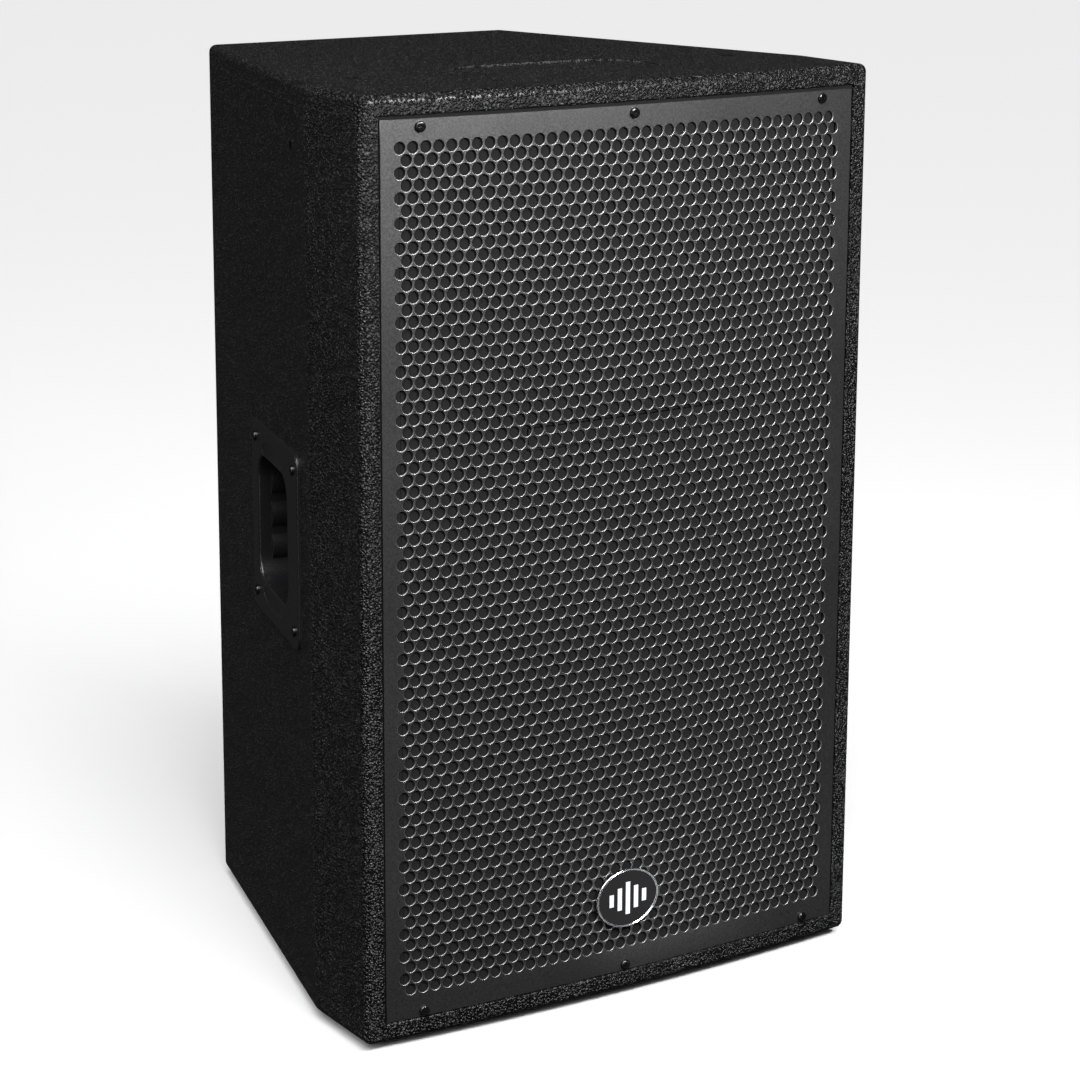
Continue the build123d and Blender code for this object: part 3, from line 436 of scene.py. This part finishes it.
def new_piece(name, form, slot):
    """A mesh object from a bmesh, with its slot's material."""
    mesh = bpy.data.meshes.new(name)
    form.to_mesh(mesh)
    form.free()
    mesh.materials.append(MATERIALS[slot])
    piece = bpy.data.objects.new(name, mesh)
    bpy.context.scene.collection.objects.link(piece)
    return piece


# ---------------------------------------------------------------- grille

SHEET = 1.5 * MM
PITCH = 10.142 * MM
LATTICE_RISE = 1.6 * MM          # the pattern sits a little above the middle of the sheet
LATTICE_LEFT = 1.6 * MM          # and a little to its left
ROW_STEP = PITCH * math.sqrt(3) / 2
HOLE_R = 4.4 * MM
RIM = 0.45 * MM
HOLE_ROWS = 72
HOLES_IN_ROW = 38
HOLE_POINTS = 18
RIM_PROFILE = ((HOLE_R + RIM, 0.0), (HOLE_R + 0.3 * RIM, 0.3 * RIM), (HOLE_R, RIM), (HOLE_R, SHEET))
RIM_SLOT = 1                     # the mesh's second material, for the rims and walls of the holes
ROW_MIDDLE = 2 * (HOLES_IN_ROW - 1)


class Bow:
    """A sheet bowed like the front, found from its own box and thickness."""

    def __init__(self, low, high, thickness):
        sag = high.y - thickness - low.y
        self.radius = (high.x ** 2 + sag ** 2) / (2 * sag)
        self.centre = low.y + self.radius

    def point(self, x, z, depth=0.0):
        """The point at x and z, at a depth behind the sheet's face."""
        lean = math.asin(x / self.radius)
        reach = self.radius - depth
        return Vector((reach * math.sin(lean), self.centre - reach * math.cos(lean), z))

    def axis_point(self, point):
        """The point of the bow's axis at the same height."""
        return Vector((0, self.centre, point.z))


class Lattice:
    """The staggered rows of round holes, from the top row down, on the unrolled sheet."""

    def __init__(self, low, high):
        middle = (low.z + high.z) / 2 + LATTICE_RISE
        self.top = middle + (HOLE_ROWS - 1) / 2 * ROW_STEP

    def first(self, row):
        """Where a row starts, in quarters of the pitch from the middle of the sheet."""
        return -ROW_MIDDLE - 1 if row % 2 == 0 else -ROW_MIDDLE + 1

    def place(self, quarters, step):
        """The place of a lattice point: quarters of the pitch across, and steps of a third of a row down."""
        return quarters * PITCH / 4 - LATTICE_LEFT, self.top - step * ROW_STEP / 3

    def corners(self, row, column):
        """The six corners of a hole's cell, from the lower right one on."""
        x = self.first(row) + 4 * column
        z = 3 * row
        return [(x + 2, z + 1), (x + 2, z - 1), (x, z - 2), (x - 2, z - 1), (x - 2, z + 1), (x, z + 2)]

    def side_outline(self, right):
        """The outermost cell corners of one side, from the top down."""
        points = []
        for row in range(HOLE_ROWS):
            x = self.first(row) + (4 * HOLES_IN_ROW - 2 if right else -2)
            points += [(x, 3 * row - 1), (x, 3 * row + 1)]
        return points

    def end_outline(self, row, way):
        """The outermost cell corners of the top or bottom row, from left to right."""
        first = self.first(row)
        points = [(first - 2, 3 * row + way)]
        for column in range(HOLES_IN_ROW):
            x = first + 4 * column
            points += [(x, 3 * row + 2 * way), (x + 2, 3 * row + way)]
        return points


class Sheet:
    """Builds the perforated steel as one closed mesh."""

    def __init__(self, low, high):
        self.low = low
        self.high = high
        self.bow = Bow(low, high, SHEET)
        self.lattice = Lattice(low, high)
        self.form = bmesh.new()
        self.shared = {}

    def vert(self, x, z, depth):
        return self.form.verts.new(self.bow.point(x, z, depth))

    def corner(self, point, depth):
        key = (point, depth)
        if key not in self.shared:
            self.shared[key] = self.vert(*self.lattice.place(*point), depth)
        return self.shared[key]

    def hole(self, row, column):
        """One cell: flat front and back around a hole with a rounded rim."""
        x, z = self.lattice.place(self.lattice.first(row) + 4 * column, 3 * row)
        start = math.radians(-30)
        rings = []
        for radius, depth in RIM_PROFILE:
            angles = [start + 2 * math.pi * k / HOLE_POINTS for k in range(HOLE_POINTS)]
            rings.append([self.vert(x + radius * math.cos(angle), z + radius * math.sin(angle), depth)
                          for angle in angles])
        for near, far in zip(rings, rings[1:]):
            for k in range(HOLE_POINTS):
                n = (k + 1) % HOLE_POINTS
                face = self.form.faces.new((near[k], near[n], far[n], far[k]))
                face.smooth = True
                face.material_index = RIM_SLOT
        per_side = HOLE_POINTS // 6
        for depth, ring in ((0.0, rings[0]), (SHEET, rings[-1])):
            outer = [self.corner(point, depth) for point in self.lattice.corners(row, column)]
            for side in range(6):
                arc = [ring[(side * per_side + k) % HOLE_POINTS] for k in range(per_side, -1, -1)]
                self.form.faces.new([outer[side], outer[(side + 1) % 6]] + arc)

    def margin(self, depth, inset):
        """The plain steel around the holes on one face. Returns the points of its edge in order."""
        left = self.low.x + inset
        right = self.high.x - inset
        bottom = self.low.z + inset
        top = self.high.z - inset
        ends = [self.strip(self.lattice.end_outline(0, -1), depth, lambda x, z: (x, top)),
                self.strip(self.lattice.side_outline(True), depth, lambda x, z: (right, z)),
                self.strip(self.lattice.end_outline(HOLE_ROWS - 1, 1), depth, lambda x, z: (x, bottom)),
                self.strip(self.lattice.side_outline(False), depth, lambda x, z: (left, z))]
        ends[2].reverse()
        ends[3].reverse()
        edge = []
        for index, run in enumerate(ends):
            nearest = ends[(index + 1) % 4]
            edge += run
            x, z = ((right, top), (right, bottom), (left, bottom), (left, top))[index]
            tip = self.vert(x, z, depth)
            inner = self.shared[self.turn_point(index), depth]
            self.form.faces.new((run[-1], tip, nearest[0], inner))
            edge.append(tip)
        return edge

    def turn_point(self, index):
        """The lattice point where two strips meet, for each corner of the sheet."""
        last = HOLE_ROWS - 1
        right = self.lattice.first(0) + 4 * HOLES_IN_ROW - 2
        low_right = self.lattice.first(last) + 4 * HOLES_IN_ROW - 2
        return ((right, -1), (low_right, 3 * last + 1),
                (self.lattice.first(last) - 2, 3 * last + 1), (self.lattice.first(0) - 2, -1))[index]

    def strip(self, outline, depth, outward):
        """Faces from the outermost cells to one edge of the sheet. Returns the points on that edge."""
        inner = [self.corner(point, depth) for point in outline]
        outer = [self.vert(*outward(*self.lattice.place(*point)), depth) for point in outline]
        for k in range(len(outline) - 1):
            self.form.faces.new((inner[k], inner[k + 1], outer[k + 1], outer[k]))
        return outer

    def outward(self, point):
        """The direction from the bow's axis to a point."""
        return (point - self.bow.axis_point(point)).normalized()

    def build(self):
        for row in range(HOLE_ROWS):
            for column in range(HOLES_IN_ROW):
                self.hole(row, column)
        front = self.margin(0.0, RIM)
        back = self.margin(SHEET, 0.0)
        middle = [self.form.verts.new(vert.co + self.outward(vert.co) * (SHEET - RIM)) for vert in back]
        for near, far in ((front, middle), (middle, back)):
            for k in range(len(near)):
                n = (k + 1) % len(near)
                self.form.faces.new((near[k], near[n], far[n], far[k])).smooth = near is front
        bmesh.ops.recalc_face_normals(self.form, faces=self.form.faces)
        return self.form


def make_grille():
    """The perforated sheet in place of the plain one."""
    low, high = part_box("grille")
    piece = new_piece("grille_perforated", Sheet(low, high).build(), "grille_steel")
    piece.data.materials.append(MATERIALS["rim_steel"])
    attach(piece, "cabinet")
    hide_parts("grille")
    return piece


# ---------------------------------------------------------------- soft pieces

def stops_to_lines(stops, step):
    """Grid lines through every stop, about a step apart."""
    lines = []
    for low, high in zip(stops, stops[1:]):
        count = max(1, round((high - low) / step))
        lines += [low + (high - low) * k / count for k in range(count)]
    return lines + [stops[-1]]


def rounded_noise(point, size):
    """Smooth noise about 0.5, fixed by the place alone."""
    return 0.5 + 0.5 * noise.noise(point / size)


FOAM = 8 * MM
FOAM_STRIP_X = 88.3 * MM         # half the length of the slot for the short batten
STUD_R = 9 * MM                  # hole for the badge's stud
STUD_PATCH = 12 * MM             # half the side of the square around that hole
FOAM_STEP = 7 * MM
FOAM_SWAY = 0.5 * MM             # how far the soft face gives way
SLOT_GAP = 0.3 * MM
FOAM_EDGE = 1.2 * MM


class FoamSlab:
    """The bowed foam behind the steel, with a slot for the short batten and a hole for the stud."""

    def __init__(self):
        self.low, self.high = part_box("grille_foam")
        self.bow = Bow(self.low, self.high, FOAM)
        self.strip_low, self.strip_high = self.strip()
        badge_low, badge_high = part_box("badge_rim")
        self.stud_z = (badge_low.z + badge_high.z) / 2
        self.form = bmesh.new()
        self.partner = {}

    def strip(self):
        """The heights of the short batten, whose island is the one in the middle of the height."""
        boxes = [box for box in islands("grille_cleats") if box[1].x - box[0].x < 2.2 * FOAM_STRIP_X
                 and box[1].z - box[0].z < 4 * FOAM]
        low, high = boxes[0]
        return low.z - SLOT_GAP, high.z + SLOT_GAP

    def pair(self, x, z):
        """A point of the front face, with its partner on the back face."""
        sway = FOAM_SWAY * rounded_noise(Vector((x, 0, z)), 0.03)
        front = self.form.verts.new(self.bow.point(x, z, sway))
        self.partner[front] = self.form.verts.new(self.bow.point(x, z, FOAM - 0.4 * sway))
        return front

    def build(self):
        xs = stops_to_lines((self.low.x, -FOAM_STRIP_X, -STUD_PATCH, STUD_PATCH, FOAM_STRIP_X,
                             self.high.x), FOAM_STEP)
        zs = stops_to_lines((self.low.z, self.stud_z - STUD_PATCH, self.stud_z + STUD_PATCH,
                             self.strip_low, self.strip_high, self.high.z), FOAM_STEP)
        grid = {(i, k): (x, z) for i, x in enumerate(xs) for k, z in enumerate(zs)}
        points = {}
        for i in range(len(xs) - 1):
            for k in range(len(zs) - 1):
                x = (xs[i] + xs[i + 1]) / 2
                z = (zs[k] + zs[k + 1]) / 2
                in_strip = abs(x) < FOAM_STRIP_X and self.strip_low < z < self.strip_high
                in_patch = abs(x) < STUD_PATCH and abs(z - self.stud_z) < STUD_PATCH
                if in_strip or in_patch:
                    continue
                corners = [(i, k), (i + 1, k), (i + 1, k + 1), (i, k + 1)]
                for corner in corners:
                    if corner not in points:
                        points[corner] = self.pair(*grid[corner])
                self.face([points[corner] for corner in corners])
        self.stud_ring({key: vert for key, vert in points.items()
                        if abs(grid[key][0]) < STUD_PATCH + 0.1 * MM
                        and abs(grid[key][1] - self.stud_z) < STUD_PATCH + 0.1 * MM}, grid)
        self.walls()
        return self.form

    def face(self, verts):
        """One face on the front and its partner on the back."""
        self.form.faces.new(verts).smooth = True
        self.form.faces.new([self.partner[vert] for vert in reversed(verts)]).smooth = True

    def stud_ring(self, patch, grid):
        """Faces between the square patch and the round hole."""
        def turn(key):
            x, z = grid[key]
            return math.atan2(z - self.stud_z, x)
        keys = sorted(patch, key=turn)
        inner = [self.pair(STUD_R * math.cos(turn(key)), self.stud_z + STUD_R * math.sin(turn(key)))
                 for key in keys]
        for k in range(len(keys)):
            n = (k + 1) % len(keys)
            self.face([patch[keys[k]], patch[keys[n]], inner[n], inner[k]])

    def walls(self):
        """Closes the slab along its outline, its slot and its hole, and softens those edges."""
        rims = [edge for edge in self.form.edges
                if len(edge.link_faces) == 1 and edge.verts[0] in self.partner]
        for edge in rims:
            a, b = edge.verts
            self.form.faces.new((a, b, self.partner[b], self.partner[a])).smooth = True
        bmesh.ops.recalc_face_normals(self.form, faces=self.form.faces)
        bmesh.ops.bevel(self.form, geom=rims, offset=FOAM_EDGE, segments=3, profile=0.5, affect="EDGES")
        for face in self.form.faces:
            face.smooth = True


def islands(node):
    """The boxes of a CAD node's separate solids, as (low, high)."""
    form = bmesh.new()
    form.from_mesh(frame["nodes"][node].data)
    bmesh.ops.remove_doubles(form, verts=form.verts, dist=0.001 * MM)
    left = set(form.verts)
    boxes = []
    while left:
        stack = [left.pop()]
        seen = list(stack)
        while stack:
            for edge in stack.pop().link_edges:
                for vert in edge.verts:
                    if vert in left:
                        left.discard(vert)
                        stack.append(vert)
                        seen.append(vert)
        places = [vert.co for vert in seen]
        boxes.append((Vector([min(p[a] for p in places) for a in range(3)]),
                      Vector([max(p[a] for p in places) for a in range(3)])))
    form.free()
    return sorted(boxes, key=lambda box: box[0].z)


def wool_pad(low, high, thin):
    """A crowned batt of wool lying against the panel on its high side: thin is the axis of its thickness."""
    form = bmesh.new()
    wide, tall = [axis for axis in range(3) if axis != thin]
    middle = (low + high) / 2
    half = (high - low) / 2
    steps_u, steps_v = 36, 26
    rows = {}
    for i in range(steps_u + 1):
        for k in range(steps_v + 1):
            u = 2 * i / steps_u - 1
            v = 2 * k / steps_v - 1
            place = Vector(middle)
            place[wide] += half[wide] * u * (1 - 0.05 * (1 - v * v))
            place[tall] += half[tall] * v * (1 - 0.06 * (1 - u * u))
            rise = ((1 - u ** 8) * (1 - v ** 8)) ** 0.4
            lump = 0.8 + 0.2 * rounded_noise(place, 0.035)
            flat = Vector(place)
            flat[thin] = high[thin]
            crown = Vector(place)
            crown[thin] = high[thin] - 2 * half[thin] * rise * lump
            back = form.verts.new(flat)
            rows[i, k] = (back, form.verts.new(crown) if rise > 0 else back)
    for i in range(steps_u):
        for k in range(steps_v):
            keys = ((i, k), (i + 1, k), (i + 1, k + 1), (i, k + 1))
            for layer in (0, 1):
                form.faces.new([rows[key][layer] for key in keys]).smooth = True
    bmesh.ops.recalc_face_normals(form, faces=form.faces)
    return form


def revolved(profile, z, segments):
    """A closed ring on a driver's axis: profile is (radius, y) pairs."""
    form = bmesh.new()
    rings = []
    for k in range(segments):
        angle = 2 * math.pi * k / segments
        rings.append([form.verts.new((r * math.cos(angle), y, z + r * math.sin(angle))) for r, y in profile])
    for near, far in zip(rings, rings[1:] + rings[:1]):
        for k in range(len(profile)):
            n = (k + 1) % len(profile)
            form.faces.new((near[k], near[n], far[n], far[k])).smooth = True
    bmesh.ops.recalc_face_normals(form, faces=form.faces)
    return form


def flex_between(piece, axis_z, fixed_r, moving_r):
    """The ring's outer edge stays with the cabinet and its inner edge follows the cone.
    """
    y = piece.data.vertices[0].co.y
    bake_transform(piece, "cabinet", "woofer_moving_parts", (fixed_r, y, axis_z), (moving_r, y, axis_z))
    share = piece.data.attributes["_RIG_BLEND"]
    for vert, value in zip(piece.data.vertices, share.data):
        radius = math.hypot(vert.co.x, vert.co.z - axis_z)
        t = min(1.0, max(0.0, (fixed_r - radius) / (fixed_r - moving_r)))
        value.value = t * t * (3 - 2 * t)


SURROUND_CLOTH = 0.9 * MM
ROLL_R = 9.6 * MM
ROLL_INSET = 10.5 * MM           # from the outer edge to the middle of the roll
SURROUND_WIDTH = 21 * MM
SURROUND_GLUE = 1.5 * MM         # the part of each lip that keeps still
ROLL_STEPS = 24


def make_surround():
    """The half roll of treated cloth, with a narrow lip glued down on each side."""
    low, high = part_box("woofer_surround")
    axis_z = (low.z + high.z) / 2
    outer_r = high.x
    inner_r = outer_r - SURROUND_WIDTH
    cloth = SURROUND_CLOTH
    middle_r = outer_r - ROLL_INSET
    rise = high.y - low.y - cloth
    outside = []
    inside = []
    for k in range(ROLL_STEPS + 1):
        angle = math.pi * k / ROLL_STEPS
        outside.append((middle_r + ROLL_R * math.cos(angle), high.y - cloth - rise * math.sin(angle)))
        inside.append((middle_r + (ROLL_R - cloth) * math.cos(angle), high.y - rise * math.sin(angle)))
    inner_lip = [(inner_r, high.y - cloth), (inner_r, high.y)]
    profile = [(outer_r, high.y - cloth)] + outside + inner_lip + inside[::-1] + [(outer_r, high.y)]
    piece = new_piece("surround_roll", revolved(profile, axis_z, 128), "surround_cloth")
    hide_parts("woofer_surround")
    flex_between(piece, axis_z, outer_r - SURROUND_GLUE, inner_r + SURROUND_GLUE)


SPIDER_WAVE = (0, 0, -1, 1, -1, 1, -1, 0, 0)     # from the coil outwards, in half heights
SPIDER_CLOTH = 0.8 * MM
SPIDER_LAP = 0.6 * MM            # how far the disc reaches inside the coil's outer face
SPIDER_FIXED = 4 * MM
SPIDER_MOVING = 3 * MM


def make_spider():
    """The pleated disc: smooth waves between the coil former and its seat."""
    low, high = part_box("woofer_spider")
    slot = next(part["material_slot"] for part in frame["record"]["subparts"]
                if part["node"] == "woofer_spider")
    axis_z = (low.z + high.z) / 2
    outer_r = high.x
    inner_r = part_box("woofer_voice_coil")[1].x - SPIDER_LAP
    cloth = SPIDER_CLOTH
    swing = (high.y - low.y - cloth) / 2
    flat_y = (low.y + high.y - cloth) / 2
    per_wave = 6
    steps = (len(SPIDER_WAVE) - 1) * per_wave
    front = []
    for k in range(steps + 1):
        knot = min(k // per_wave, len(SPIDER_WAVE) - 2)
        t = k / per_wave - knot
        ease = 0.5 - 0.5 * math.cos(math.pi * t)
        height = SPIDER_WAVE[knot] * (1 - ease) + SPIDER_WAVE[knot + 1] * ease
        front.append((inner_r + (outer_r - inner_r) * k / steps, flat_y + swing * height))
    back = [(r, y + cloth) for r, y in reversed(front)]
    piece = new_piece("spider_disc", revolved(front + back, axis_z, 96), slot)
    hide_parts("woofer_spider")
    flex_between(piece, axis_z, outer_r - SPIDER_FIXED, inner_r + SPIDER_MOVING)


def make_foam():
    """The bowed foam sheet in place of the plain block."""
    piece = new_piece("foam_sheet", FoamSlab().build(), "foam")
    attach(piece, "cabinet")
    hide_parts("grille_foam")


def make_wool():
    """One batt behind the woofer and one under the ceiling."""
    pads = islands("damping_wool")
    for name, (low, high) in zip(("wool_rear", "wool_ceiling"), pads):
        size = high - low
        thin = 1 if size.y < size.z else 2
        piece = new_piece(name, wool_pad(low, high, thin), "wool")
        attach(piece, "cabinet")
        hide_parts("damping_wool")


# ---------------------------------------------------------------- badge ring

# millimetres inwards from the ring's outline, and outwards from its back
RING_PROFILE = ((0.0, 0.0), (0.0, 1.7), (0.25, 2.25), (0.6, 2.5), (0.95, 2.35), (1.15, 2.0), (1.35, 2.0),
                (1.5, 2.3), (1.72, 2.3), (2.0, 1.9), (2.0, 0.0))
RING_SEGMENTS = 160


def make_badge_ring():
    """The chromed ring: a broad outer bead and a narrow inner one with a groove between them."""
    low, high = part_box("badge_rim")
    middle_z = (low.z + high.z) / 2
    half_x = high.x
    half_z = (high.z - low.z) / 2
    form = bmesh.new()
    rings = []
    for k in range(RING_SEGMENTS):
        angle = 2 * math.pi * k / RING_SEGMENTS
        rings.append([form.verts.new(((half_x - inward * MM) * math.cos(angle), high.y - out * MM,
                                      middle_z + (half_z - inward * MM) * math.sin(angle)))
                      for inward, out in RING_PROFILE])
    for near, far in zip(rings, rings[1:] + rings[:1]):
        for k in range(len(RING_PROFILE)):
            n = (k + 1) % len(RING_PROFILE)
            form.faces.new((near[k], near[n], far[n], far[k])).smooth = True
    bmesh.ops.recalc_face_normals(form, faces=form.faces)
    piece = new_piece("badge_ring", form, "bright_chrome")
    body = next(body for body in frame["bodies"] if "badge" in body)
    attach(piece, body)
    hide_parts("badge_rim")


# ---------------------------------------------------------------- scene

bpy.context.scene.view_settings.view_transform = "Standard"
add_world(0.03)
add_floor()
add_camera()
add_sun((-0.38, -0.5, 0.78), 3.8, 50)
add_area("sheen_box", (0.26, -1.2, 1.05), (0, -0.2, 0.6), 0.45, 0.25, 23)
add_area("overhead_box", (-0.5, -0.9, 2.3), (0, -0.2, 0.4), 1.2, 0.5, 6)
add_area("edge_strip", (-1.9, -1.3, 0.6), (-0.2, -0.2, 0.4), 0.2, 1.3, 6)
add_area("rear_left_box", (-2.2, 1.4, 1.0), (-0.2, 0.0, 0.4), 0.5, 0.5, 7)
add_area("badge_card", (0.12, -0.37, 0.004), (0.12, -0.37, 1.0), 0.16, 0.16, 0.13)
dress_cad_nodes()
make_grille()
make_foam()
make_badge_ring()
make_surround()
make_spider()
make_wool()
